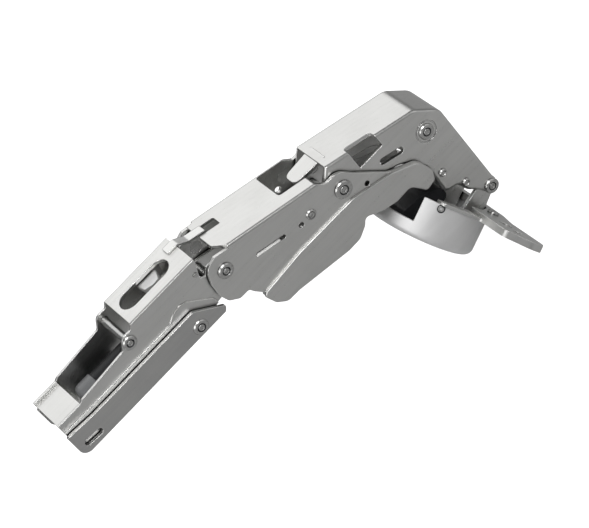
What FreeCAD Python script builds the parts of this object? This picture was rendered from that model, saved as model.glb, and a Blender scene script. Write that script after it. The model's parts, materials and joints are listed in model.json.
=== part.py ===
import FreeCAD, Part
import Sketcher
import math
import os

# Wide-angle soft-close cabinet hinge, drawn fully open
# +X runs forward along the fixed arm, +Z is up off the mounting plate, Y is the hinge's width
# The origin is the rear fixing slot of the arm, in the plane where the arm lands on its plate

os.makedirs("parts", exist_ok=True)
doc = FreeCAD.newDocument("CabinetHinge")
V = FreeCAD.Vector

# Driving sizes, millimetres and degrees
SIZES = [
    ("sheet_thick", 1.2),
    ("arm_width", 17.0),
    ("bend_radius", 1.1),
    ("raised_edge_radius", 0.6),
    ("wall_gap", 0.3),
    ("pin_play", 0.05),
    ("flange_joggle", 1.0),
    ("arm_rear", -3.5),
    ("outer_arm_front", 55.0),
    ("outer_arm_height", 8.4),
    ("arm_height", 20.2),
    ("arm_web_rear", 31.7),
    ("arm_web_front", 57.0),
    ("low_web_height", 13.0),
    ("arm_pivot_along", 61.5),
    ("arm_pivot_height", 10.5),
    ("middle_length", 41.9),
    ("middle_angle", -14.2),
    ("web_offset", 7.0),
    ("twin_back", 3.9),
    ("twin_down", 4.6),
    ("cup_pivot_along", 34.6),
    ("cup_pivot_down", 40.7),
    ("open_tilt", 24.0),
    ("pivot_above_cup", 9.1),
    ("pivot_off_cup", 11.5),
    ("pivot_radius", 2.0),
    ("cup_pin_radius", 1.7),
    ("rivet_radius", 1.6),
    ("guide_radius", 1.0),
    ("spring_pin_radius", 0.7),
    ("twin_radius", 1.5),
    ("eye_radius", 5.4),
    ("head_radius", 2.9),
    ("head_height", 0.8),
    ("cup_radius", 17.5),
    ("cup_depth", 12.5),
    ("cup_wall", 1.0),
    ("notch_side_gap", 1.0),
    ("notch_depth", 7.8),
    ("flange_thick", 2.2),
    ("rim_lip_thick", 0.9),
    ("joggle_depth", 0.4),
    ("web_drop", 0.9),
    ("flange_half", 38.0),
    ("flange_hole_half", 24.0),
    ("flange_hole_off", 9.5),
    ("flange_hole_radius", 2.1),
    ("cross_pin_along", 28.0),
    ("cross_pin_below_web", 4.5),
    ("cross_pin_radius", 1.3),
    ("adjust_along", 45.5),
    ("adjust_height", 2.6),
    ("damper_radius", 4.8),
    ("damper_cap_length", 6.5),
    ("barrel_radius", 4.4),
    ("damper_length", 20.0),
    ("damper_rear", 7.5),
    ("damper_height", 6.3),
    ("damper_bore", 8.0),
    ("damper_stroke", 2.4),
    ("slider_front", 54.4),
    ("slider_length", 4.0),
    ("rod_radius", 1.2),
    ("cam_reach", 4.2),
    ("cam_nose", 0.8),
    ("stud_radius", 0.9),
    ("stud_head_radius", 1.3),
    ("outer_web_height", 8.9),
    ("mouth_side_gap", 2.4),
    ("lever_thick", 1.2),
    ("lever_below_web", 4.8),
    ("lever_tip", 40.6),
    ("lever_length", 12.4),
    ("finger_thick", 0.7),
    ("finger_width", 3.3),
    ("finger_offset", 2.85),
    ("flange_rivet_along", 12.0),
    ("flange_rivet_half", 14.0),
]

sheet = doc.addObject("Spreadsheet::Sheet", "Sizes")
for row, (alias, value) in enumerate(SIZES, start=1):
    sheet.set(f"A{row}", alias)
    sheet.set(f"B{row}", str(value))
    sheet.setAlias(f"B{row}", alias)
doc.recompute()


def size(alias):
    return float(sheet.get(alias))


# Widths of the nested channels, from the innermost outwards
thick = size("sheet_thick")
gap = size("wall_gap")
arm_half = size("arm_width") / 2
arm_inner = arm_half - thick
upper_half = arm_half - size("joggle_depth")
cover_inner = arm_half + gap
cover_half = cover_inner + thick
flange_outer = cover_half + size("flange_joggle")

# Pivot places in the arm's frame
arm_pivot = V(size("arm_pivot_along"), 0, size("arm_pivot_height"))
middle_turn = FreeCAD.Rotation(V(0, 1, 0), -size("middle_angle"))
centre_pivot = arm_pivot + middle_turn.multVec(V(size("middle_length"), 0, 0))
cup_pivot = centre_pivot + V(size("cup_pivot_along"), 0, -size("cup_pivot_down"))
twin_step = V(-size("twin_back"), 0, -size("twin_down"))
twin_pivot = arm_pivot + twin_step
spring_pin_place = arm_pivot + V(-7.0, 0, 5.2)
cross_pin_place = V(size("cross_pin_along"), 0, size("arm_height") - size("cross_pin_below_web"))
adjust_place = V(size("adjust_along"), 0, size("adjust_height"))

# Rivet places in the middle link's frame and in the outer link's
guide_place = V(30, 0, -0.9)
corner_place = V(29.6, 0, -8.5)
upper_stud_place = V(25.7, 0, -23.6)
lower_stud_place = V(29.3, 0, -32.6)

# Cup's place on its pivot
cup_turn = FreeCAD.Rotation(V(0, 1, 0), 90 - size("open_tilt"))
cup_centre = cup_pivot - cup_turn.multVec(V(size("pivot_off_cup"), 0, size("pivot_above_cup")))

# Channel widths as sheet expressions
ARM_WIDTH = "Sizes.arm_width"
ARM_INSIDE = "Sizes.arm_width - 2 * Sizes.sheet_thick"
COVER_INSIDE = "Sizes.arm_width + 2 * Sizes.wall_gap"
COVER_WIDTH = COVER_INSIDE + " + 2 * Sizes.sheet_thick"
FLANGE_INSIDE = COVER_INSIDE + " + 2 * Sizes.flange_joggle"
FLANGE_WIDTH = COVER_WIDTH + " + 2 * Sizes.flange_joggle"
TWIN_WIDTH = ARM_INSIDE + " - 2 * Sizes.wall_gap"
TWIN_INSIDE = TWIN_WIDTH + " - 2 * Sizes.sheet_thick"
CHEEK_WIDTH = ARM_INSIDE + " - 4 * Sizes.wall_gap"
CHEEK_INSIDE = CHEEK_WIDTH + " - 2 * Sizes.sheet_thick"
BLOCK_WIDTH = CHEEK_INSIDE + " - 2 * Sizes.wall_gap"
THROUGH = 40

ARM = FreeCAD.Placement()
MIDDLE = FreeCAD.Placement(arm_pivot, middle_turn)
OUTER = FreeCAD.Placement(centre_pivot, FreeCAD.Rotation())
CUP = FreeCAD.Placement(cup_centre, cup_turn)

pieces = []


# Shared drawing helpers
def new_body(label, placement):
    body = doc.addObject("PartDesign::Body", label)
    body.Label = label
    body.Placement = placement
    pieces.append(body)
    return body


def rounded(points):
    """Closed outline through (along, up, radius) corners, as lines and tangent arcs."""
    count = len(points)
    starts, ends, arcs = [], [], []
    for i, (x, z, radius) in enumerate(points):
        here = V(x, z, 0)
        back = V(*points[i - 1][:2], 0) - here
        ahead = V(*points[(i + 1) % count][:2], 0) - here
        back_length, ahead_length = back.Length, ahead.Length
        back.normalize()
        ahead.normalize()
        if radius <= 0:
            starts.append(here)
            ends.append(here)
            arcs.append(None)
            continue
        half = back.getAngle(ahead) / 2
        cut = min(radius / math.tan(half), 0.49 * back_length, 0.49 * ahead_length)
        reach = cut * math.tan(half)
        middle = back + ahead
        middle.normalize()
        centre = here + middle * math.hypot(cut, reach)
        starts.append(here + back * cut)
        ends.append(here + ahead * cut)
        arcs.append(centre - middle * reach)
    edges = []
    for i in range(count):
        if arcs[i] is not None:
            edges.append(Part.Arc(starts[i], arcs[i], ends[i]))
        following = starts[(i + 1) % count]
        if (following - ends[i]).Length > 1e-6:
            edges.append(Part.LineSegment(ends[i], following))
    return edges


def sketch(body, name, edges, role="XZ_Plane", offset=0.0):
    drawing = body.newObject("Sketcher::SketchObject", name)
    plane = next(f for f in body.Origin.OriginFeatures if f.Role == role)
    drawing.AttachmentSupport = (plane, [""])
    drawing.MapMode = "FlatFace"
    drawing.AttachmentOffset = FreeCAD.Placement(V(0, 0, offset), FreeCAD.Rotation())
    drawing.addGeometry(edges, False)
    return drawing


def pad(body, name, edges, length, role="XZ_Plane", offset=0.0, symmetric=True):
    feature = body.newObject("PartDesign::Pad", name)
    feature.Profile = sketch(body, name + "_sketch", edges, role, offset)
    feature.SideType = "Symmetric" if symmetric else "One side"
    set_length(feature, length)
    return feature


def pocket(body, name, edges, length, role="XZ_Plane", offset=0.0, symmetric=True, flip=False):
    feature = body.newObject("PartDesign::Pocket", name)
    feature.Profile = sketch(body, name + "_sketch", edges, role, offset)
    feature.SideType = "Symmetric" if symmetric else "One side"
    feature.Reversed = flip
    set_length(feature, length)
    return feature


def set_length(feature, length):
    if isinstance(length, str):
        feature.setExpression("Length", length)
    else:
        feature.Length = length


def ring(x, z, radius):
    return [Part.Circle(V(x, z, 0), V(0, 0, 1), radius)]


def slot_edges(x, z, length, width, angle=0.0):
    """Obround of overall length along the given angle."""
    turn = FreeCAD.Rotation(V(0, 0, 1), angle)
    half, radius = length / 2 - width / 2, width / 2
    place = [V(half, radius, 0), V(half + radius, 0, 0), V(half, -radius, 0)]
    place += [V(-half, -radius, 0), V(-half - radius, 0, 0), V(-half, radius, 0)]
    p = [V(x, z, 0) + turn.multVec(v) for v in place]
    return [Part.Arc(p[0], p[1], p[2]), Part.LineSegment(p[2], p[3]),
            Part.Arc(p[3], p[4], p[5]), Part.LineSegment(p[5], p[0])]


def bend(body, name, radius, test, curved=False):
    """Rounds each edge of a fold whose middle passes the test, straight ones only unless curved."""
    doc.recompute()
    base = body.Tip
    wanted = []
    for number, edge in enumerate(base.Shape.Edges, start=1):
        if (curved or edge.Curve.TypeId == "Part::GeomLine") and test(edge.CenterOfMass, edge):
            wanted.append(f"Edge{number}")
    if not wanted:
        raise RuntimeError(name + " found no edges")
    fillet = body.newObject("PartDesign::Fillet", name)
    fillet.Base = (base, wanted)
    fillet.Radius = radius
    doc.recompute()
    return fillet


def revolved(body, name, edges, role, axis):
    drawing = sketch(body, name + "_section", edges, role)
    feature = body.newObject("PartDesign::Revolution", name)
    feature.Profile = drawing
    feature.ReferenceAxis = (drawing, [axis])
    feature.Angle = 360
    return feature


def turned(label, profile, centre):
    """Piece of revolution about the width axis, from (radius, along width) corners."""
    body = new_body(label, FreeCAD.Placement(centre, FreeCAD.Rotation()))
    revolved(body, "turned_form", profile, "XY_Plane", "V_Axis")
    return body


def rivet_profile(shank, head, start, end, head_height, dimple=True):
    """Half section of a through rivet with a headed end on each side."""
    dish = 0.45 * head if dimple else 0.0
    crown = 0.35 * head_height
    low = start - head_height
    top = end + head_height
    corners = [(0, low + crown), (dish, low + crown), (dish + 0.3, low), (head - 0.35, low),
               (head, low + 0.35), (head, start), (shank, start), (shank, end), (head, end),
               (head, top - 0.35), (head - 0.35, top), (dish + 0.3, top), (dish, top - crown),
               (0, top - crown)]
    return rounded([(x, y, 0) for x, y in corners])


def stub_profile(shank, head, inner, outer, head_height, side):
    """Half section of a short rivet whose dimpled head lies on the outer side only."""
    top = outer + head_height
    dish = 0.45 * head
    crown = 0.35 * head_height
    corners = [(0, inner), (shank, inner), (shank, outer), (head, outer), (head, top - 0.35),
               (head - 0.35, top), (dish + 0.3, top), (dish, top - crown), (0, top - crown)]
    return rounded([(x, side * y, 0) for x, y in corners])


def hole(body, name, x, z, *aliases):
    """Round hole right across the width, its radius the sum of the named sizes."""
    feature = pocket(body, name, ring(x, z, sum(size(a) for a in aliases)), THROUGH)
    drawing = feature.Profile[0]
    drawing.addConstraint(Sketcher.Constraint("Radius", 0, sum(size(a) for a in aliases)))
    drawing.setExpression("Constraints[0]", " + ".join("Sizes." + a for a in aliases))
    return feature


# Outer arm: a channel that opens upwards and clips down onto the mounting plate
def outer_arm():
    body = new_body("outer_arm", ARM)
    rear, front, top = size("arm_rear"), size("outer_arm_front"), size("outer_arm_height")
    side = [(rear, 0, 3.0), (front - 1.2, 0, 0.6), (front, 1.6, 0.6), (front - 8.4, top, 1.5),
            (rear + 10, top, 3), (rear, top + 0.8, 0.8)]
    pad(body, "side_outline", rounded(side), COVER_WIDTH)
    inside = [(rear - 5, thick, 0), (front + 5, thick, 0), (front + 5, top + 5, 0), (rear - 5, top + 5, 0)]
    pocket(body, "channel", rounded(inside), COVER_INSIDE)
    window = [(20, -5, 1.5), (38, -5, 1.5), (38, 5, 1.5), (20, 5, 1.5)]
    pocket(body, "floor_window", rounded(window), 4 * thick, "XY_Plane", 0, True)
    front_mouth = [(front - 8, -cover_inner, 0), (front + 5, -cover_inner, 0),
                   (front + 5, cover_inner, 0), (front - 8, cover_inner, 0)]
    pocket(body, "front_mouth", rounded(front_mouth), 2 * thick, "XY_Plane", 0, True)
    pocket(body, "rear_slot", slot_edges(2.2, 2.9, 6.6, 2.2, -4), THROUGH)
    hole(body, "adjust_hole", adjust_place.x, adjust_place.z, "rivet_radius", "pin_play")


# Inner arm: a channel that opens downwards and carries every pivot of the arm
def inner_arm():
    body = new_body("inner_arm", ARM)
    top, low_top = size("arm_height"), size("low_web_height")
    web_rear, web_front = size("arm_web_rear"), size("arm_web_front")
    ax, az = arm_pivot.x, arm_pivot.z
    px, pz = cross_pin_place.x, cross_pin_place.z
    floor = thick + gap
    side = [(-2.8, floor, 1.5), (40, floor, 3), (47, 0.7 + floor, 2),
            (twin_pivot.x - 2, twin_pivot.z - 2.7, 2), (twin_pivot.x + 2.6, twin_pivot.z - 2.6, 2),
            (ax + 1, az - 5.2, 3), (ax + 5, az - 3, 3.5),
            (ax + 5, az + 4.5, 3.5), (ax - 3.6, az + 4.2, 1), (ax - 5.15, az + 2.2, 0.4),
            (ax - 6.7, az + 2.95, 0.4), (web_front, top - thick, 0.3),
            (web_front, top, 0), (web_rear, top, 0), (px + 2.6, pz + 2.7, 1), (px - 1, pz + 2.9, 2.4),
            (px - 3.2, pz - 0.6, 1), (7, low_top + 0.6, 4), (6, low_top, 0), (-3, low_top, 0)]
    pad(body, "side_outline", rounded(side), ARM_WIDTH)
    low_web_floor = low_top - size("web_drop") - thick
    inside = [(-10, -5, 0), (80, -5, 0), (80, top - thick - 4, 0), (web_front + 6, top - thick, 0),
              (web_rear - 0.01, top - thick, 0), (web_rear - 0.01, top + 5, 0), (6, top + 5, 0),
              (6, low_web_floor, 0), (-10, low_web_floor, 0)]
    pocket(body, "channel", rounded(inside), ARM_INSIDE)
    nose = [(web_front - 0.01, -arm_half + 0.01 + thick, 0), (90, -arm_half + 0.01 + thick, 0),
            (90, arm_half - thick - 0.01, 0), (web_front - 0.01, arm_half - thick - 0.01, 0)]
    pocket(body, "open_front", rounded(nose), 60, "XY_Plane", 0, True)
    bend(body, "top_bend", size("bend_radius"),
         lambda c, e: abs(abs(c.y) - arm_half) < 0.01 and abs(c.z - top) < 0.01)
    recess = [(-20, 9.9, 0), (39.5, 9.9, 1.5), (41.8, 11.6, 1), (45.1, 12.3, 1.5), (47.4, 11.5, 1.5),
              (54.0, 5.2, 1.5), (54.6, -5, 0), (90, -5, 0), (90, 40, 0), (-20, 40, 0)]
    for tag, side in (("near", 1), ("far", -1)):
        pocket(body, f"pressed_step_{tag}", rounded(recess), "2 * Sizes.joggle_depth",
               offset=side * arm_half)
    low_top_recess = [(-10, low_top - size("web_drop"), 0), (6.3, low_top - size("web_drop"), 0),
                      (6.3, top + 5, 0), (-10, top + 5, 0)]
    pocket(body, "low_web_recess", rounded(low_top_recess), ARM_INSIDE)
    window = slot_edges((web_rear + web_front) / 2 - 1.6, 0, 18.6, 7.4)
    pocket(body, "obround_window", window, 8, "XY_Plane", top - 4, False, True)
    hole(body, "arm_pivot_hole", ax, az, "pivot_radius")
    hole(body, "twin_pivot_hole", twin_pivot.x, twin_pivot.z, "twin_radius", "pin_play")
    hole(body, "cross_pin_hole", px, pz, "cross_pin_radius")
    hole(body, "adjust_hole", adjust_place.x, adjust_place.z, "rivet_radius")
    hole(body, "spring_pin_hole", spring_pin_place.x, spring_pin_place.z, "spring_pin_radius")


# Middle link: a broad channel whose lower side walls are joggled outwards
def middle_link():
    body = new_body("middle_link", MIDDLE)
    top = size("web_offset")
    reach = size("middle_length")
    eye = size("eye_radius")
    upper = [(0.4, top, 0), (34.5, top, 0), (reach - 4, eye - 0.5, 1.5), (reach + 0.5, eye + 0.8, 4.5),
             (reach + 4.8, 2.6, 2), (57.1, -4.6, 8), (61.5, -5.6, 2), (62.5, -9.5, 1), (50.0, -7.2, 2),
             (reach + 1, -6.9, 2), (22.9, -11.8, 2), (9.5, -15.9, 1), (5.2, -12.0, 2), (3.9, -10.4, 1),
             (0.6, -11.2, 2), (-2.8, -9.6, 2), (-4.6, -6.5, 2), (-eye, -2.2, 4), (-eye + 0.4, 3.4, 3)]
    pad(body, "side_outline", rounded(upper), COVER_WIDTH)
    lower = [(8.2, -14.0, 1), (22.6, -9.0, 4), (reach + 1, -4.2, 8), (50.3, -4.4, 6), (57.1, -4.6, 6),
             (66.1, -6.7, 4), (69.3, -12.0, 3), (68.9, -15.6, 1.5), (65.3, -17.3, 1.2), (60.9, -12.7, 2.5),
             (55.5, -14.3, 2), (49.8, -14.0, 3), (44.6, -12.4, 1.5), (43.6, -14.8, 3), (40.6, -17.8, 4),
             (36.0, -19.0, 4), (17.5, -20.4, 3), (13.0, -21.4, 3), (9.6, -19.4, 2), (7.2, -15.5, 1.5)]
    pad(body, "joggled_flange", rounded(lower), FLANGE_WIDTH)
    inside = [(-20, -40, 0), (90, -40, 0), (90, 20, 0), (35.2, 20, 0), (35.2, top - thick, 0),
              (34.5, top - thick, 0), (0.2, top - thick, 0), (0.2, 20, 0), (-20, 20, 0)]
    pocket(body, "channel", rounded(inside), COVER_INSIDE)
    below = [(-20, -40, 0), (90, -40, 0), (90, -10.4, 0), (60, -8.9, 0), (50.0, -6.3, 0),
             (reach + 1, -6.0, 0), (22.9, -10.9, 0), (8.5, -15.3, 0), (-20, -15.3, 0)]
    pocket(body, "flange_inside", rounded(below), FLANGE_INSIDE)
    bend(body, "raised_edge", size("raised_edge_radius"),
         lambda c, e: abs(abs(c.y) - flange_outer) < 0.01 and 9 < c.x < 66
         and c.z > -15 + 0.12 * (c.x - 8) and abs(e.tangentAt(e.FirstParameter).y) < 0.1, True)
    opening = [(25.2, -4.6, 1), (60, -4.6, 0), (60, cover_inner, 0), (25.2, cover_inner, 1)]
    pocket(body, "web_opening", rounded(opening), 2 * thick, "XY_Plane", top - thick, True)
    finger_slot = [(-5, 0.8, 0), (7.6, 0.8, 0.4), (7.6, 4.9, 0.4), (-5, 4.9, 0)]
    pocket(body, "finger_slot", rounded(finger_slot), 2 * thick, "XY_Plane", top - thick, True)
    relief = [(-5, -20, 0), (3.6, -20, 0), (3.6, -9.6, 0.5), (0.1, -5.6, 0.5), (-5, -5.6, 0)]
    pocket(body, "corner_relief", rounded(relief), 2 * thick, "XY_Plane", top, True)
    far_relief = [(-5, 20, 0), (2.4, 20, 0), (2.4, 8.6, 0.5), (-5, 7.4, 0.5)]
    pocket(body, "far_corner_relief", rounded(far_relief), 2 * thick, "XY_Plane", top, True)
    bend(body, "web_bend", size("bend_radius"),
         lambda c, e: abs(abs(c.y) - cover_half) < 0.01 and abs(c.z - top) < 0.01 and e.Length > 8)
    hole(body, "arm_pivot_hole", 0, 0, "pivot_radius", "pin_play")
    hole(body, "centre_pivot_hole", reach, 0, "pivot_radius")
    hole(body, "guide_rivet_hole", guide_place.x, guide_place.z, "guide_radius")
    hole(body, "small_hole", 26.1, -2.1, "stud_radius")
    hole(body, "front_hole", 49.3, -3.2, "stud_radius")
    pocket(body, "side_slot", slot_edges(15.4, -1.9, 10.4, 1.3, 0), THROUGH)


# Outer link: the elbow-shaped housing that reaches round to the cup
def outer_link():
    body = new_body("outer_link", OUTER)
    px, pz = size("cup_pivot_along"), -size("cup_pivot_down")
    front = px + 2.3
    tx, tz = twin_step.x, twin_step.z
    web = size("outer_web_height")
    web_rear, web_front, web_end = 0.4, 30.7, 0.2
    side = [(tx - 2.4, 1.5, 2), (web_rear, web, 0.6), (web_front, web_end, 5), (front, -6.6, 5),
            (front, pz - 0.8, 2.5),
            (px - 1.6, pz - 2.7, 2.4), (px - 3.0, pz + 1.0, 1.5), (28.4, -35.6, 1.5), (27.0, -31.4, 1.5),
            (22.6, -30.0, 2), (23.4, -19, 4), (18, -10.5, 6), (8, -7.2, 4), (tx - 2.4, tz - 2.8, 2.4)]
    pad(body, "side_outline", rounded(side), ARM_WIDTH)
    t = thick
    inside = [(-20, -60, 0), (front - t, -60, 0), (front - t, -28, 0), (front - t, -7.0, 3.8),
              (web_front - 0.4, web_end - t, 3.8), (web_rear - 0.1, web - t, 0), (web_rear - 0.1, 20, 0),
              (-20, 20, 0)]
    pocket(body, "channel", rounded(inside), ARM_INSIDE)
    lower_front = [(front - 2 * t, -60, 0), (front + 5, -60, 0), (front + 5, -28, 0),
                   (front - 2 * t, -28, 0)]
    pocket(body, "open_lower_front", rounded(lower_front), ARM_INSIDE)
    tongue = [(3.0, -3.9, 0), (3.0, 3.9, 0), (-4.5, 3.2, 2), (-8.6, 2.9, 2.8), (-8.6, -2.9, 2.8),
              (-4.5, -3.2, 2)]
    pad(body, "rear_tongue", rounded(tongue), thick, "XY_Plane", web - t - 0.55, False)
    notch = [(8.0, -30, 0), (17.2, -30, 0), (17.2, -5.6, 1.2), (8.0, -5.6, 1.2)]
    pocket(body, "corner_cut_out", rounded(notch), 14, "XY_Plane", -0.4, False, True)
    window = slot_edges(17.3, -5.6, 8.4, 2.3, -17)
    pocket(body, "side_window", window, THROUGH)
    fall = (web - web_end) / (web_front - web_rear)
    bend(body, "web_bend", size("bend_radius"),
         lambda c, e: abs(abs(c.y) - arm_half) < 0.01 and c.z > -1.5 and e.Length > 5
         and abs(e.tangentAt(e.FirstParameter).y) < 0.1
         and abs(c.z - (web - fall * (c.x - web_rear))) < 0.4)
    for tag, side in (("near", 1), ("far", -1)):
        groove = ring(corner_place.x, corner_place.z, 3.6) + ring(corner_place.x, corner_place.z, 3.1)
        pocket(body, f"pressed_ring_{tag}", groove, 0.5, offset=side * arm_half)
    hole(body, "centre_pivot_hole", 0, 0, "pivot_radius", "pin_play")
    hole(body, "twin_pivot_hole", tx, tz, "twin_radius", "pin_play")
    hole(body, "cup_pivot_hole", px, pz, "cup_pin_radius")
    hole(body, "corner_rivet_hole", corner_place.x, corner_place.z, "rivet_radius")
    hole(body, "upper_stud_hole", upper_stud_place.x, upper_stud_place.z, "stud_radius")
    hole(body, "lower_stud_hole", lower_stud_place.x, lower_stud_place.z, "stud_radius")


# Inner link: the narrow twin lever that keeps the outer link upright while the hinge folds
# Its small cam nose starts upright and swings back to press the damper slider
cam_angle = math.radians(102 - size("middle_angle"))


def inner_link():
    place = FreeCAD.Placement(twin_pivot, middle_turn)
    body = new_body("inner_link", place)
    reach = size("middle_length")
    side = slot_edges(reach / 2, 0, reach + 4.8, 4.8)
    pad(body, "side_outline", side, TWIN_WIDTH)
    nose, lift = size("cam_nose"), size("cam_reach")
    ahead = V(lift * math.cos(cam_angle), lift * math.sin(cam_angle), 0)
    aside = V(-math.sin(cam_angle) * nose, math.cos(cam_angle) * nose, 0)
    tip = ahead * ((lift + nose) / lift)
    lobe = [Part.LineSegment(V(0, 0, 0) - aside * 2, ahead - aside),
            Part.Arc(ahead - aside, tip, ahead + aside),
            Part.LineSegment(ahead + aside, V(0, 0, 0) + aside * 2),
            Part.LineSegment(V(0, 0, 0) + aside * 2, V(0, 0, 0) - aside * 2)]
    pad(body, "damper_cam", lobe, TWIN_WIDTH)
    inside = [(-10, -2.4 + thick, 0), (reach + 10, -2.4 + thick, 0), (reach + 10, 10, 0), (-10, 10, 0)]
    pocket(body, "channel", rounded(inside), TWIN_INSIDE)
    for name, low, high in (("rear_web_end", -10, 16), ("front_web_end", reach - 3.4, reach + 10)):
        end = [(low, -10, 0), (high, -10, 0), (high, 10, 0), (low, 10, 0)]
        pocket(body, name, rounded(end), TWIN_INSIDE)
    hole(body, "rear_hole", 0, 0, "twin_radius")
    hole(body, "front_hole", reach, 0, "twin_radius")


# Rivets and pins
def rivets():
    radius, head, high = size("pivot_radius"), size("head_radius"), size("head_height")
    for side, tag in ((-1, "near"), (1, "far")):
        stub = stub_profile(radius, head - 0.4, arm_inner, cover_half, high, side)
        turned(f"arm_pivot_rivet_{tag}", stub, arm_pivot)
        stub = stub_profile(radius, head, arm_inner, cover_half, high, side)
        turned(f"centre_pivot_rivet_{tag}", stub, centre_pivot)
    twin = size("twin_radius")
    for tag, place in (("rear", twin_pivot), ("front", centre_pivot + twin_step)):
        plain = rounded([(0, -arm_half, 0), (twin, -arm_half, 0), (twin, arm_half, 0), (0, arm_half, 0)])
        turned(f"inner_link_{tag}_pin", plain, place)
    cup_pin = rivet_profile(size("cup_pin_radius"), head - 0.5, -arm_half, arm_half, high)
    turned("cup_pivot_pin", cup_pin, cup_pivot)
    cross = rivet_profile(size("cross_pin_radius"), 2.3, -upper_half, upper_half, 0.6)
    turned("cross_pin", cross, cross_pin_place)
    adjust = rivet_profile(size("rivet_radius"), 2.5, -cover_half, cover_half, 0.5)
    turned("adjust_rivet", adjust, adjust_place)
    corner = rivet_profile(size("rivet_radius"), 2.5, -arm_half, arm_half, 0.6)
    turned("corner_rivet", corner, centre_pivot + corner_place)
    guide = stub_profile(size("guide_radius"), 1.7, cover_inner, cover_half, 0.5, -1)
    turned("guide_rivet", guide, MIDDLE.multVec(guide_place))
    pin, end = size("spring_pin_radius"), upper_half + 0.4
    plain = rounded([(0, -end, 0), (pin, -end, 0), (pin, end, 0), (0, end, 0)])
    turned("spring_pin", plain, spring_pin_place)
    for tag, place in (("upper", upper_stud_place), ("lower", lower_stud_place)):
        stud = stub_profile(size("stud_radius"), size("stud_head_radius"), arm_inner, arm_half, 0.8, -1)
        turned(f"{tag}_stud", stud, centre_pivot + place)
    for tag, side in (("near", -1), ("far", 1)):
        body = new_body(f"flange_rivet_{tag}", CUP)
        low, high = size("flange_thick"), size("flange_thick") + 0.9
        place = ring(size("flange_rivet_along"), side * size("flange_rivet_half"), 1.8)
        pad(body, "button", place, high - low, "XY_Plane", low, False)
        doc.recompute()
        button = body.Tip
        middle = button.Shape.CenterOfMass
        top_edge = [f"Edge{n}" for n, e in enumerate(button.Shape.Edges, 1)
                    if e.CenterOfMass.z - middle.z > 0.2 and e.isClosed()]
        crown = body.newObject("PartDesign::Fillet", "crown")
        crown.Base = (button, top_edge)
        crown.Radius = 0.5


# Cup: a drawn steel bowl, notched where the levers swing in
def hinge_cup():
    body = new_body("hinge_cup", CUP)
    outer, deep, wall = size("cup_radius"), size("cup_depth"), size("cup_wall")
    section = rounded([(0, -deep, 0), (outer, -deep, 2.2), (outer, 0, 0), (outer - wall, 0, 0),
                       (outer - wall, wall - deep, 2.2), (0, wall - deep, 0)])
    revolved(body, "bowl", section, "XZ_Plane", "V_Axis")
    low = -size("notch_depth")
    notch = [(-40, low, 0), (0, low, 0), (0, 20, 0), (-40, 20, 0)]
    pocket(body, "lever_notch", rounded(notch), FLANGE_WIDTH + " + 2 * Sizes.notch_side_gap")


def mounting_flange():
    body = new_body("mounting_flange", CUP)
    half, off = size("flange_half"), size("flange_hole_off")
    outer = size("cup_radius")
    wing = 6.4
    out = [(-9, 16.6, 2), (0, 19.2, 3), (off - wing, 21, 1.5), (off - wing, half - 6, 2.5),
           (off + 1, half - 0.6, 3), (off + 4.6, half, 2), (off + wing, half - 3, 2), (off + wing, 19, 4),
           (18.4, 11.5, 3)]
    mirrored = [(x, -y, r) for x, y, r in reversed(out)]
    inner = outer - size("cup_wall") - 0.3
    mouth_half = flange_outer + size("mouth_side_gap")
    mouth = [(-40, mouth_half, 0), (-8.5, mouth_half, 1), (0, 14.6, 5), (8, 13.6, 5), (inner - 1.2, 7.5, 4)]
    mouth_mirror = [(x, -y, r) for x, y, r in reversed(mouth)]
    pad(body, "plate", rounded(out + mirrored), "Sizes.flange_thick", "XY_Plane", 0, False)
    pocket(body, "mouth", rounded(mouth + mouth_mirror), 12, "XY_Plane", -1, False, True)
    behind = [(-40, -60, 0), (off - wing, -60, 0), (off - wing, 60, 0), (-40, 60, 0)]
    pocket(body, "thin_rim_lip", rounded(behind), "Sizes.flange_thick", "XY_Plane",
           size("rim_lip_thick"), False, True)
    for tag, side in (("near", -1), ("far", 1)):
        place = side * size("flange_hole_half")
        pocket(body, f"screw_hole_{tag}", ring(off, place, size("flange_hole_radius")), 12, "XY_Plane", -1,
               False, True)
        pocket(body, f"pilot_hole_{tag}", ring(off, place + side * 6.2, 1.5), 12, "XY_Plane", -1,
               False, True)


def cup_bracket():
    body = new_body("cup_bracket", CUP)
    floor = size("cup_wall") - size("cup_depth")
    px, pz = size("pivot_off_cup"), size("pivot_above_cup")
    side = [(1.5, floor, 0), (14.0, floor, 2), (14.6, 3.0, 3), (px + 2.7, pz - 1, 2),
            (px + 2.2, pz + 2.6, 2.4), (px - 2.2, pz + 2.6, 2.4), (px - 2.7, pz - 1.5, 2), (7.6, 1.0, 3),
            (6.4, -5.0, 3), (1.5, floor + 2.6, 1)]
    pad(body, "side_outline", rounded(side), CHEEK_WIDTH)
    inside = [(-10, floor + thick, 0), (30, floor + thick, 0), (30, 30, 0), (-10, 30, 0)]
    pocket(body, "between_cheeks", rounded(inside), CHEEK_INSIDE)
    hole(body, "pin_hole", px, pz, "cup_pin_radius", "pin_play")


def soft_close_block():
    body = new_body("soft_close_block", CUP)
    floor = size("cup_wall") - size("cup_depth")
    side = [(-11.0, floor, 1), (0.4, floor, 0.5), (0.4, 1.8, 2), (-3.0, 3.2, 2), (-8.5, -2.0, 3),
            (-11.5, -7, 2)]
    pad(body, "block", rounded(side), BLOCK_WIDTH)


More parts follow.
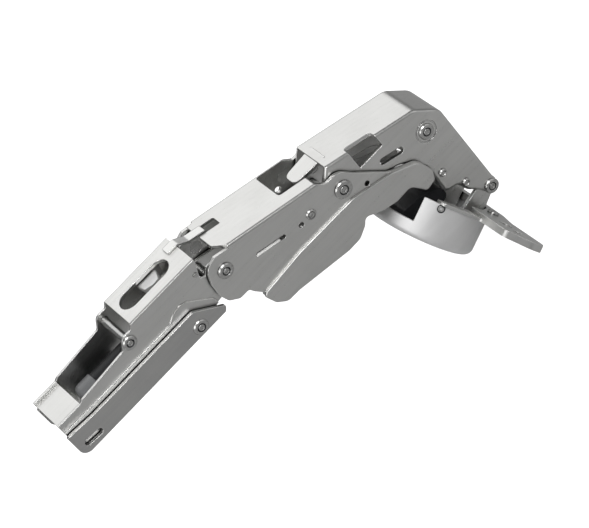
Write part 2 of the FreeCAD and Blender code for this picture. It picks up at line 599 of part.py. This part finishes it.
# Soft-close damper: a capped cylinder in its cradle, with a rod that carries the slider
def damper():
    rear, length = size("damper_rear"), size("damper_length")
    radius, rod = size("damper_radius"), size("rod_radius")
    height, bore = size("damper_height"), size("damper_bore")
    play = size("pin_play")
    cap, barrel = size("damper_cap_length"), size("barrel_radius")
    body = new_body("damper_end_cap", FreeCAD.Placement(V(rear, 0, height), FreeCAD.Rotation()))
    section = rounded([(0, 0, 0), (0, radius, 2), (cap, radius, 0.4), (cap, 0, 0)])
    revolved(body, "cap", section, "XZ_Plane", "H_Axis")
    body = new_body("damper_cylinder", FreeCAD.Placement(V(rear, 0, height), FreeCAD.Rotation()))
    section = rounded([(cap, 0, 0), (cap, barrel, 0), (length, barrel, 0.6), (length, rod + play, 0),
                       (length - bore, rod + play, 0), (length - bore, 0, 0)])
    revolved(body, "barrel", section, "XZ_Plane", "H_Axis")
    slider_rear = size("slider_front") - size("slider_length")
    start = rear + length - bore + size("damper_stroke") + gap
    seat = 1.5
    end = slider_rear + seat
    piston = new_body("damper_rod", FreeCAD.Placement(V(start, 0, height), FreeCAD.Rotation()))
    profile = rounded([(0, 0, 0), (0, rod, 0), (end - start, rod, 0.4), (end - start, 0, 0)])
    revolved(piston, "rod", profile, "XZ_Plane", "H_Axis")
    slider = new_body("damper_slider", ARM)
    low, high = height - 2.8, height + 2.4
    front = size("slider_front")
    block = [(slider_rear, low, 0.6), (front, low, 0.6), (front, high, 0.6), (slider_rear, high, 1.2)]
    pad(slider, "block", rounded(block), TWIN_WIDTH)
    pocket(slider, "rod_seat", ring(0, height, rod), seat, "YZ_Plane", slider_rear, False, True)
    cradle = new_body("damper_cradle", ARM)
    low, high = thick, height - 1
    base = [(rear + 1, low, 0), (rear + 16, low, 0), (rear + 16, high, 1), (rear + 1, high, 1)]
    pad(cradle, "base", rounded(base), TWIN_WIDTH)
    pocket(cradle, "trough", ring(0, height, radius + play), THROUGH, "YZ_Plane", rear + 8, True)


def catch_lever():
    """Tapered spring-steel lever seen through the web's window, held between the arm's walls."""
    body = new_body("catch_lever", ARM)
    tip = size("lever_tip")
    foot = tip + size("lever_length")
    plate = [(tip, 0.4, 1), (foot - 6.2, -3.4, 0), (foot - 3.5, -arm_inner, 0.5), (foot, -arm_inner, 0.5),
             (foot, arm_inner, 0.5), (foot - 2.5, arm_inner, 0.5), (foot - 4, 2.4, 2), (tip + 4.9, 2.2, 1)]
    height = size("arm_height") - size("lever_below_web")
    pad(body, "plate", rounded(plate), "Sizes.lever_thick", "XY_Plane", height, False)


def stop_finger():
    """Spring-steel strip on the arm's web that passes through the middle link's slot."""
    body = new_body("stop_finger", ARM)
    top = size("arm_height")
    t = size("finger_thick")
    line = [(53.6, top, 0), (53.6, top + t, 0), (57.4, top + t, 1.6), (60.8, top - 1.6, 1.6), (66.2, 17.2, 1),
            (66.0, 16.4, 0), (60.4, top - 2.5, 1), (57.2, top, 1)]
    pad(body, "strip", rounded(line), "Sizes.finger_width", offset=-size("finger_offset"))


for build in (outer_arm, inner_arm, middle_link, outer_link, inner_link, rivets, hinge_cup,
              mounting_flange, cup_bracket, soft_close_block, damper, catch_lever, stop_finger):
    build()

doc.recompute()
failed = [o.Name for o in doc.Objects if {"Invalid", "Error"} & set(o.State)]
for piece in pieces:
    if piece.Shape.isNull() or not piece.Shape.isValid():
        failed.append(piece.Label)
    elif len(piece.Shape.Solids) != 1:
        failed.append(f"{piece.Label} has {len(piece.Shape.Solids)} solids")
if failed:
    raise RuntimeError("failed: " + ", ".join(failed))
for piece in pieces:
    piece.Shape.exportStep(f"parts/{piece.Label}.step")
    box = piece.Shape.BoundBox
    print(piece.Label, round(piece.Shape.Volume, 1), [round(v, 1) for v in (
        box.XMin, box.XMax, box.YMin, box.YMax, box.ZMin, box.ZMax)])
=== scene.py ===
import json
import math

import bmesh
import bpy
from mathutils import Matrix, Vector


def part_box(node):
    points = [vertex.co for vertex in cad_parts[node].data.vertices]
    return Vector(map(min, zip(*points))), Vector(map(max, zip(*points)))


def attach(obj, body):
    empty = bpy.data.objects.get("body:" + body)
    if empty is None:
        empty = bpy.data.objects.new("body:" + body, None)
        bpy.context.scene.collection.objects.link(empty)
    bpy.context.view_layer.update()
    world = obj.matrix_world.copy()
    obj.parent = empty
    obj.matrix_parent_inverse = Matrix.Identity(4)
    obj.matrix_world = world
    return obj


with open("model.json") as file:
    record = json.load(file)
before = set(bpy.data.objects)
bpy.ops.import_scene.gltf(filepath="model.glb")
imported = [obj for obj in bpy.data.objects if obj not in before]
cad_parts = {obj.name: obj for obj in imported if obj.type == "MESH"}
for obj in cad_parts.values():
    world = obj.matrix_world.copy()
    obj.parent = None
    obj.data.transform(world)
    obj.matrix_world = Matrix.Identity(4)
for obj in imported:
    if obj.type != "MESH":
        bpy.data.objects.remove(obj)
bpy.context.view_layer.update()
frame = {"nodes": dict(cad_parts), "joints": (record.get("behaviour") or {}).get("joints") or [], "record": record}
nodes = frame["nodes"]

MM = 0.001
SIDES = {"near": -1, "far": 1}


# Shared helpers
def linear(hex_colour):
    """Linear colour of an sRGB hex value."""
    parts = [int(hex_colour[i:i + 2], 16) / 255 for i in (1, 3, 5)]
    return [p / 12.92 if p <= 0.04045 else ((p + 0.055) / 1.055) ** 2.4 for p in parts] + [1.0]


def per_mm(spacing):
    """Texture scale of a pattern whose features are this many millimetres apart."""
    return 1 / (spacing * MM)


def on_side(side, place):
    """Point or direction given for the far side, mirrored to the near side where side is -1."""
    return Vector((place[0], side * place[1], place[2]))


def empty_tree(owner):
    """Cleared node tree of a material or a world."""
    owner.use_nodes = True
    owner.node_tree.nodes.clear()
    return owner.node_tree


def add(tree, kind, inputs=None, **settings):
    """Adds a node with its settings; an input that is a socket is linked, any other is a value."""
    made = tree.nodes.new(kind)
    for key, value in settings.items():
        setattr(made, key, value)
    for key, value in (inputs or {}).items():
        if isinstance(value, bpy.types.NodeSocket):
            tree.links.new(value, made.inputs[key])
        else:
            made.inputs[key].default_value = value
    return made


def start_material(name):
    """Empty material with the shader, its node tree and coordinates in the part's own frame."""
    material = bpy.data.materials.new(name)
    tree = empty_tree(material)
    shader = add(tree, "ShaderNodeBsdfPrincipled")
    add(tree, "ShaderNodeOutputMaterial", {"Surface": shader.outputs[0]})
    place = add(tree, "ShaderNodeTexCoord").outputs["Object"]
    return material, tree, shader, place


# Materials
# Colour sockets of a Mix node, by number because its sockets for numbers have the same names
MIX_A, MIX_B, MIX_OUT = 6, 7, 2

# Range that two noises added together mostly keep to, and that of a single one
TWO_NOISES = {"From Min": 0.6, "From Max": 1.4}
ONE_NOISE = {"From Min": 0.3, "From Max": 0.7}

# Plated steel: cloudy tone, and streaks 25 times longer along the part than across it
CLOUD_MM = 11
STREAK_SQUEEZE = (0.04, 1.0, 1.0)
PLATE_RELIEF = 0.35

# Burnished edges with a pale painted highlight: its colour, cosine of the edge's turn where they begin and are
# complete, and the roughness left there
EDGE_HIGHLIGHT_COLOUR = "#fbfbf9"
POLISH_HIGHLIGHT_BEGINS, POLISH_HIGHLIGHT_COMPLETE = 0.995, 0.90
POLISH_ROUGHNESS = 0.7
POLISH_SAMPLES = 16

# Seams get painted shade: how far it reaches, and how open a face is where it is darkest and where it ends
SEAM_REACH = 1.8 * MM
SEAM_SHADE_COLOUR = "#1e1e1e"
SEAM_DARKEST, SEAM_ENDS = 0.15, 0.75
SEAM_SAMPLES = 8

# Moulded plastic
PLASTIC_IOR = 1.46
FLOW_MM = 7
PLASTIC_SPREAD = 0.06
PLASTIC_RELIEF = 0.3
PLASTIC_BUMP = 0.02 * MM


def plated_steel(name, dark, light, roughness, spread, streak_mm, grain_mm, bump_mm, polish_and_highlight_mm=0.3):
    """Nickel-plated steel: a soft sheen, faint rolling streaks along the part and a fine grain.

    The streaks and the cloudy tone break up the wide highlights, and the grain blurs reflections unevenly.
    Tumbling and handling burnish the edges smoother, and each piece gets a pale painted highlight along its edges.
    Seams and the rims of rivet heads get painted shade, a grey line drawn round each of them.
    Real plating grain is finer than the render can show, so it is drawn a little coarser.
    """
    material, tree, shader, place = start_material(name)
    shader.inputs["Metallic"].default_value = 1.0

    # Patterns
    cloud = add(tree, "ShaderNodeTexNoise", {"Vector": place, "Scale": per_mm(CLOUD_MM), "Detail": 3.0})
    stretched = add(tree, "ShaderNodeMapping", {"Vector": place, "Scale": STREAK_SQUEEZE})
    streak = add(tree, "ShaderNodeTexNoise", {"Vector": stretched.outputs[0], "Scale": per_mm(streak_mm),
                                              "Detail": 2.0})
    grain = add(tree, "ShaderNodeTexNoise", {"Vector": place, "Scale": per_mm(grain_mm), "Detail": 4.0})

    # Share of burnishing and of the painted edge highlight, from the angle between the face and the rounded edge
    rounded = add(tree, "ShaderNodeBevel", {"Radius": polish_and_highlight_mm * MM}, samples=POLISH_SAMPLES).outputs[0]
    flat = add(tree, "ShaderNodeNewGeometry").outputs["Normal"]
    agree = add(tree, "ShaderNodeVectorMath", {0: rounded, 1: flat}, operation="DOT_PRODUCT").outputs["Value"]
    edge = add(tree, "ShaderNodeMapRange", {"Value": agree, "From Min": POLISH_HIGHLIGHT_BEGINS,
                                            "From Max": POLISH_HIGHLIGHT_COMPLETE}).outputs[0]

    # Colour: plate tone, then the painted highlight on edges, then the painted shade in seams
    mixed = add(tree, "ShaderNodeMath", {0: cloud.outputs["Fac"], 1: streak.outputs["Fac"]}, operation="ADD")
    tone = add(tree, "ShaderNodeMapRange", {"Value": mixed.outputs[0], **TWO_NOISES})
    plate = add(tree, "ShaderNodeMix", {"Factor": tone.outputs[0], MIX_A: linear(dark), MIX_B: linear(light)},
                data_type="RGBA")
    # Painted highlight: the edges' colour is drawn paler than the plate
    edge_highlighted = add(tree, "ShaderNodeMix", {"Factor": edge, MIX_A: plate.outputs[MIX_OUT],
                                           MIX_B: linear(EDGE_HIGHLIGHT_COLOUR)}, data_type="RGBA")
    # Painted shade: the colour is darkened where nearby faces hem the surface in
    seam = add(tree, "ShaderNodeAmbientOcclusion", {"Distance": SEAM_REACH}, samples=SEAM_SAMPLES)
    open_face = add(tree, "ShaderNodeMapRange", {"Value": seam.outputs["AO"], "From Min": SEAM_DARKEST,
                                                 "From Max": SEAM_ENDS})
    seam_shaded = add(tree, "ShaderNodeMix", {"Factor": open_face.outputs[0], MIX_A: linear(SEAM_SHADE_COLOUR),
                                       MIX_B: edge_highlighted.outputs[MIX_OUT]}, data_type="RGBA")
    tree.links.new(seam_shaded.outputs[MIX_OUT], shader.inputs["Base Color"])

    # Roughness: uneven with the grain and the streaks, and lower on burnished edges
    gloss = add(tree, "ShaderNodeMath", {0: grain.outputs["Fac"], 1: streak.outputs["Fac"]}, operation="ADD")
    rough = add(tree, "ShaderNodeMapRange", {"Value": gloss.outputs[0], **TWO_NOISES,
                                             "To Min": roughness - spread, "To Max": roughness + spread})
    smoother = add(tree, "ShaderNodeMapRange", {"Value": edge, "To Min": 1.0, "To Max": POLISH_ROUGHNESS})
    burnished = add(tree, "ShaderNodeMath", {0: rough.outputs[0], 1: smoother.outputs[0]},
                    operation="MULTIPLY")
    tree.links.new(burnished.outputs[0], shader.inputs["Roughness"])

    bump = add(tree, "ShaderNodeBump", {"Height": grain.outputs["Fac"], "Strength": PLATE_RELIEF,
                                        "Distance": bump_mm * MM, "Normal": rounded})
    tree.links.new(bump.outputs[0], shader.inputs["Normal"])
    return material


def moulded_plastic(name, dark, light, roughness, grain_mm):
    """Injection-moulded plastic: an even colour with a faint flow tone and a fine spark-eroded texture."""
    material, tree, shader, place = start_material(name)
    shader.inputs["IOR"].default_value = PLASTIC_IOR
    flow = add(tree, "ShaderNodeTexNoise", {"Vector": place, "Scale": per_mm(FLOW_MM), "Detail": 2.0})
    grain = add(tree, "ShaderNodeTexNoise", {"Vector": place, "Scale": per_mm(grain_mm), "Detail": 2.0})
    colour = add(tree, "ShaderNodeMix", {"Factor": flow.outputs["Fac"], MIX_A: linear(dark),
                                         MIX_B: linear(light)}, data_type="RGBA")
    tree.links.new(colour.outputs[MIX_OUT], shader.inputs["Base Color"])
    rough = add(tree, "ShaderNodeMapRange", {"Value": grain.outputs["Fac"], **ONE_NOISE,
                                             "To Min": roughness - PLASTIC_SPREAD,
                                             "To Max": roughness + PLASTIC_SPREAD})
    tree.links.new(rough.outputs[0], shader.inputs["Roughness"])
    bump = add(tree, "ShaderNodeBump", {"Height": grain.outputs["Fac"], "Strength": PLASTIC_RELIEF,
                                        "Distance": PLASTIC_BUMP})
    tree.links.new(bump.outputs[0], shader.inputs["Normal"])
    return material


FINISHES = {
    # Satin nickel plate on pressed sheet: pale grey, broad soft highlights
    "satin_nickel_steel": plated_steel(
        "satin_nickel_pressed_steel", "#d2d2d0", "#dddddb",
        roughness=0.30, spread=0.035, streak_mm=1.1, grain_mm=0.35, bump_mm=0.006,
    ),
    # Blasted and plated drawn cup: a frosted surface with no clear reflection
    "frosted_cup_steel": plated_steel(
        "frosted_nickel_drawn_cup", "#f0f0f0", "#fafafa",
        roughness=0.58, spread=0.05, streak_mm=2.0, grain_mm=0.3, bump_mm=0.025,
    ),
    # Nickel plate on the thicker wing plate: a more even tone than the sheet, with narrower burnished edges and
    # painted edge highlights
    "satin_nickel_flange": plated_steel(
        "nickel_stamped_wing_plate", "#d6d6d4", "#dededc",
        roughness=0.33, spread=0.02, streak_mm=1.1, grain_mm=0.5, bump_mm=0.001, polish_and_highlight_mm=0.2,
    ),
    # Barrel-polished rivet heads: small, crisp highlights
    "rivet_steel": plated_steel(
        "polished_nickel_rivet", "#b4b4b3", "#c8c8c6",
        roughness=0.28, spread=0.04, streak_mm=0.4, grain_mm=0.3, bump_mm=0.003, polish_and_highlight_mm=0.08,
    ),
    # Bright spring strip: smooth, cold-rolled, faint lengthwise lines
    "spring_steel": plated_steel(
        "cold_rolled_spring_strip", "#dcdcda", "#e8e8e6",
        roughness=0.30, spread=0.04, streak_mm=0.25, grain_mm=0.4, bump_mm=0.006,
    ),
    # Matt acetal: nearly black, soft sheen
    "dark_plastic": moulded_plastic(
        "black_moulded_acetal", "#1b1c1e", "#26272a",
        roughness=0.46, grain_mm=0.3,
    ),
    # Smooth grey nylon of the damper: mid grey, a clearer sheen than the acetal
    "grey_plastic": moulded_plastic(
        "grey_moulded_nylon", "#77787a", "#88898a",
        roughness=0.32, grain_mm=0.4,
    ),
}

# The outer arm has the same plated sheet finish as the links, drawn in a darker grey
OWN_FINISH = {
    "outer_arm": plated_steel(
        "grey_nickel_outer_arm", "#bababa", "#c6c6c4",
        roughness=0.30, spread=0.035, streak_mm=1.1, grain_mm=0.35, bump_mm=0.006,
    ),
}

# Finish and edges of the CAD nodes
EDGE_ROUND = 0.12 * MM
EDGE_SEGMENTS = 2
EDGE_ABOVE = math.radians(40)
SMOOTH_BELOW = math.radians(32)

slot_of = {part["node"]: part["material_slot"] for part in frame["record"]["subparts"]}

for name, piece in nodes.items():
    finish = OWN_FINISH.get(name, FINISHES[slot_of[name]])
    if not piece.material_slots:
        piece.data.materials.append(finish)
    for holder in piece.material_slots:
        holder.material = finish
    piece.data.shade_smooth()
    piece.data.set_sharp_from_angle(angle=SMOOTH_BELOW)
    # Pressed and deburred edges catch a thin line of light
    edge = piece.modifiers.new("deburred_edges", "BEVEL")
    edge.width = EDGE_ROUND
    edge.segments = EDGE_SEGMENTS
    edge.limit_method = "ANGLE"
    edge.angle_limit = EDGE_ABOVE
    edge.harden_normals = True


# Pieces that only the render has
def add_piece(name, work, body, slot, smooth):
    """Object made from a mesh under construction, in the finish of its slot and carried by a body."""
    mesh = bpy.data.meshes.new(name)
    work.to_mesh(mesh)
    work.free()
    if smooth:
        mesh.shade_smooth()
    piece = bpy.data.objects.new(name, mesh)
    bpy.context.collection.objects.link(piece)
    piece.data.materials.append(FINISHES[slot])
    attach(piece, body)


def add_prism(name, body, slot, outlines):
    """Flat-sided solid between two outlines that have the same number of points, in metres."""
    work = bmesh.new()
    ends = [[work.verts.new(point) for point in outline] for outline in outlines]
    for end in ends:
        work.faces.new(end)
    first, second = ends
    for k in range(len(first)):
        work.faces.new((first[k], first[k - 1], second[k - 1], second[k]))
    bmesh.ops.recalc_face_normals(work, faces=work.faces)
    add_piece(name, work, body, slot, smooth=False)


# Swaged rivet ends: a raised ring round a punched hollow, pressed into each dished head
# Each outline point is a share of the ring's radius, and a height above its centre in millimetres
RIVET_SEGMENTS = 32
RIVET_OUTLINE = [
    (0.44, -0.10), (0.50, 0.16), (0.60, 0.26), (0.74, 0.28), (0.86, 0.20), (0.96, 0.02), (1.0, -0.16),
]
GROOVE_OUTLINE = [(0.96, 0.04), (1.20, 0.25)]
HOLLOW_SHARE, HOLLOW_LIFT = 0.46, -0.04


def rivet_end(name, body, centre, outward, radius):
    """Turned ring round a centre, with a dark disc of painted shade in its hollow and a dark painted-shade groove
    outside, in metres.
    """
    outward = Vector(outward).normalized()
    across = outward.orthogonal().normalized()
    other = outward.cross(across)
    spokes = []
    for step in range(RIVET_SEGMENTS):
        angle = 2 * math.pi * step / RIVET_SEGMENTS
        spokes.append(across * math.cos(angle) + other * math.sin(angle))

    def circle(work, share, lift):
        middle = centre + outward * lift * MM
        return [work.verts.new(middle + spoke * share * radius) for spoke in spokes]

    def bands(work, outline):
        rows = [circle(work, share, lift) for share, lift in outline]
        for inner, outer in zip(rows, rows[1:]):
            for k in range(RIVET_SEGMENTS):
                work.faces.new((inner[k - 1], outer[k - 1], outer[k], inner[k]))

    work = bmesh.new()
    bands(work, RIVET_OUTLINE)
    add_piece(name, work, body, "rivet_steel", smooth=True)
    # The punched hollow and the groove round the ring stay in shade, so a dark disc and a dark band are put there
    # as painted shade
    work = bmesh.new()
    work.faces.new(circle(work, HOLLOW_SHARE, HOLLOW_LIFT))
    bands(work, GROOVE_OUTLINE)
    add_piece(f"{name}_painted_shade", work, body, "dark_plastic", smooth=False)


def head_ring(name, node, body, side, dish, radius):
    """Rivet end in the dish of a CAD node's head; the dish's depth and the radius are in millimetres."""
    low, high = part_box(node)
    middle = (low + high) / 2
    face = max(-low.y, high.y) - dish * MM
    rivet_end(name, body, on_side(side, (middle.x, face, middle.z)), (0, side, 0), radius * MM)


# CAD node and its body, depth of the dish and radius of the ring; the far node of a pair stands for both
HEAD_RINGS = {
    "arm_pivot_end": ("arm_pivot_rivet_far", "arm", 0.28, 1.05),
    "centre_pivot_end": ("centre_pivot_rivet_far", "middle_link_body", 0.28, 1.3),
    "corner_end": ("corner_rivet", "outer_link_body", 0.21, 1.12),
    "adjust_end": ("adjust_rivet", "arm", 0.175, 1.12),
    "cross_pin_end": ("cross_pin", "arm", 0.21, 1.03),
    "cup_pivot_end": ("cup_pivot_pin", "outer_link_body", 0.28, 1.08),
}
GUIDE_DISH, GUIDE_RADIUS = 0.175, 0.95

# Dimples pressed into the cup's wall, given for the far side
DIMPLE_CENTRE = Vector((119.33, 15.51, -26.76)) * MM
DIMPLE_OUTWARD = (-0.188, 0.886, 0.423)
DIMPLE_RADIUS = 1.0 * MM

for name, (node, body, dish, radius) in HEAD_RINGS.items():
    for tag, side in SIDES.items():
        head_ring(f"{name}_{tag}", node, body, side, dish, radius)
for tag, side in SIDES.items():
    rivet_end(f"cup_dimple_{tag}", "door_cup", on_side(side, DIMPLE_CENTRE), on_side(side, DIMPLE_OUTWARD),
              DIMPLE_RADIUS)
head_ring("guide_end_near", "guide_rivet", "middle_link_body", SIDES["near"], GUIDE_DISH, GUIDE_RADIUS)


# Lanced bar in the slot of each side wall: its outer face slopes, so it catches the light from above
# Its places are in millimetres in the middle link's own frame, which runs from the fold pivot to the elbow
BAR_REAR, BAR_FRONT = 10.3, 18.6
BAR_LOW, BAR_HIGH = -2.57, -1.30
BAR_INSIDE, BAR_OUTSIDE = 8.85, 10.15
BAR_SECTION = [(BAR_INSIDE, BAR_LOW), (BAR_OUTSIDE, BAR_LOW), (BAR_INSIDE, BAR_HIGH)]

pivots = {joint["name"]: Vector(joint["pos_m"]) for joint in frame["joints"] if joint["type"] == "hinge"}
link_line = pivots["elbow_hinge"] - pivots["fold_hinge"]
link_turn = Matrix.Rotation(-math.atan2(link_line.z, link_line.x), 3, "Y")


def link_point(along, across, up):
    """Point of the middle link's own frame, in metres of the part's frame."""
    return pivots["fold_hinge"] + link_turn @ Vector((along, across, up)) * MM


for tag, side in SIDES.items():
    ends = [[link_point(along, side * across, up) for across, up in BAR_SECTION]
            for along in (BAR_REAR, BAR_FRONT)]
    add_prism(f"lanced_bar_{tag}", "middle_link_body", "satin_nickel_steel", ends)


# Raised die-cast boss on the catch lever, blasted like the cup and seen through the web's window
BOSS_OUTLINE = [(41.2, 4.8), (46.4, 5.6), (48.1, 3.0), (46.8, -0.4), (44.6, -0.7), (41.8, 0.3)]
BOSS_SUNK, BOSS_PROUD = 0.1 * MM, 1.9 * MM

lever_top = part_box("catch_lever")[1].z
levels = (lever_top - BOSS_SUNK, lever_top + BOSS_PROUD)
add_prism("catch_lever_boss", "arm", "frosted_cup_steel",
          [[Vector((x * MM, y * MM, level)) for x, y in BOSS_OUTLINE] for level in levels])


# Studio: the cup's lower edge rests on the floor
FLOOR_HEIGHT = -54 * MM
FLOOR_SIZE = 6
PAPER_COLOUR = "#c0c0c0"
BACKDROP_COLOUR = "#ffffff"
SURROUND_GLOW, SURROUND_SEEN = 0.20, 1.0
TARGET = Vector((65, 0, -10)) * MM


def studio_floor():
    """Paper floor: plain white to the camera, and pale grey where it throws light up on the hinge."""
    bpy.ops.mesh.primitive_plane_add(size=FLOOR_SIZE, location=(0, 0, FLOOR_HEIGHT))
    floor = bpy.context.object
    floor.name = "studio_floor"
    material = bpy.data.materials.new("pale_paper_sweep")
    tree = empty_tree(material)
    paper = add(tree, "ShaderNodeBsdfDiffuse", {"Color": linear(PAPER_COLOUR)})
    seen = add(tree, "ShaderNodeLightPath").outputs["Is Camera Ray"]
    glow = add(tree, "ShaderNodeEmission", {"Color": linear(BACKDROP_COLOUR), "Strength": seen})
    both = add(tree, "ShaderNodeAddShader", {0: paper.outputs[0], 1: glow.outputs[0]})
    add(tree, "ShaderNodeOutputMaterial", {"Surface": both.outputs[0]})
    floor.data.materials.append(material)


def studio_surround():
    """White surround: full where the camera sees it, and dim where it lights the hinge."""
    world = bpy.data.worlds.new("studio_surround")
    bpy.context.scene.world = world
    tree = empty_tree(world)
    seen = add(tree, "ShaderNodeLightPath").outputs["Is Camera Ray"]
    strength = add(tree, "ShaderNodeMapRange", {"Value": seen, "To Min": SURROUND_GLOW,
                                                "To Max": SURROUND_SEEN})
    sky = add(tree, "ShaderNodeBackground", {"Color": linear(BACKDROP_COLOUR),
                                             "Strength": strength.outputs[0]})
    add(tree, "ShaderNodeOutputWorld", {"Surface": sky.outputs[0]})


def softbox(name, direction, distance, width, height, radiance):
    """Rectangular studio light that faces the hinge, set by the brightness of its face."""
    light = bpy.data.lights.new(name, "AREA")
    light.shape = "RECTANGLE"
    light.size = width
    light.size_y = height
    light.energy = math.pi * width * height * radiance
    holder = bpy.data.objects.new(name, light)
    bpy.context.collection.objects.link(holder)
    away = Vector(direction).normalized()
    holder.location = TARGET + away * distance
    holder.rotation_euler = away.to_track_quat("Z", "Y").to_euler()


# Direction from the hinge, distance, width and height in metres, and brightness of the face
SOFTBOXES = {
    "back_overhead_softbox": ((0.20, 0.72, 0.62), 0.80, 0.95, 0.70, 1.02),
    "left_key_softbox": ((-0.75, -0.35, 0.80), 0.85, 0.60, 0.60, 1.3),
    "right_fill_softbox": ((0.85, -0.55, 0.35), 0.95, 0.50, 0.70, 0.6),
    "front_edge_softbox": ((0.09, -0.63, 0.77), 0.90, 0.45, 0.25, 6.0),
    "left_low_softbox": ((-0.80, -0.50, 0.35), 0.90, 0.40, 0.35, 2.2),
}

studio_floor()
for name, settings in SOFTBOXES.items():
    softbox(name, *settings)
studio_surround()

# Camera where the photographer stood, rolled so that the hinge climbs to the right; angles in degrees
CAMERA_PLACE = Vector((-7.5, -711.1, 568.7)) * MM
CAMERA_AZIMUTH, CAMERA_ELEVATION, CAMERA_ROLL = -96.9015, 39.1378, -41.7002
SENSOR_WIDTH_MM, LENS_MM = 36.0, 194.6

camera_data = bpy.data.cameras.new("photo_camera")
camera_data.sensor_fit = "HORIZONTAL"
camera_data.sensor_width = SENSOR_WIDTH_MM
camera_data.lens = LENS_MM
camera = bpy.data.objects.new("photo_camera", camera_data)
bpy.context.collection.objects.link(camera)
turn = Matrix.Rotation(math.radians(CAMERA_AZIMUTH + 90), 4, "Z")
tilt = Matrix.Rotation(math.radians(90 - CAMERA_ELEVATION), 4, "X")
roll = Matrix.Rotation(math.radians(CAMERA_ROLL), 4, "Z")
camera.matrix_world = Matrix.Translation(CAMERA_PLACE) @ turn @ tilt @ roll
bpy.context.scene.camera = camera
bpy.context.scene.view_settings.view_transform = "Standard"
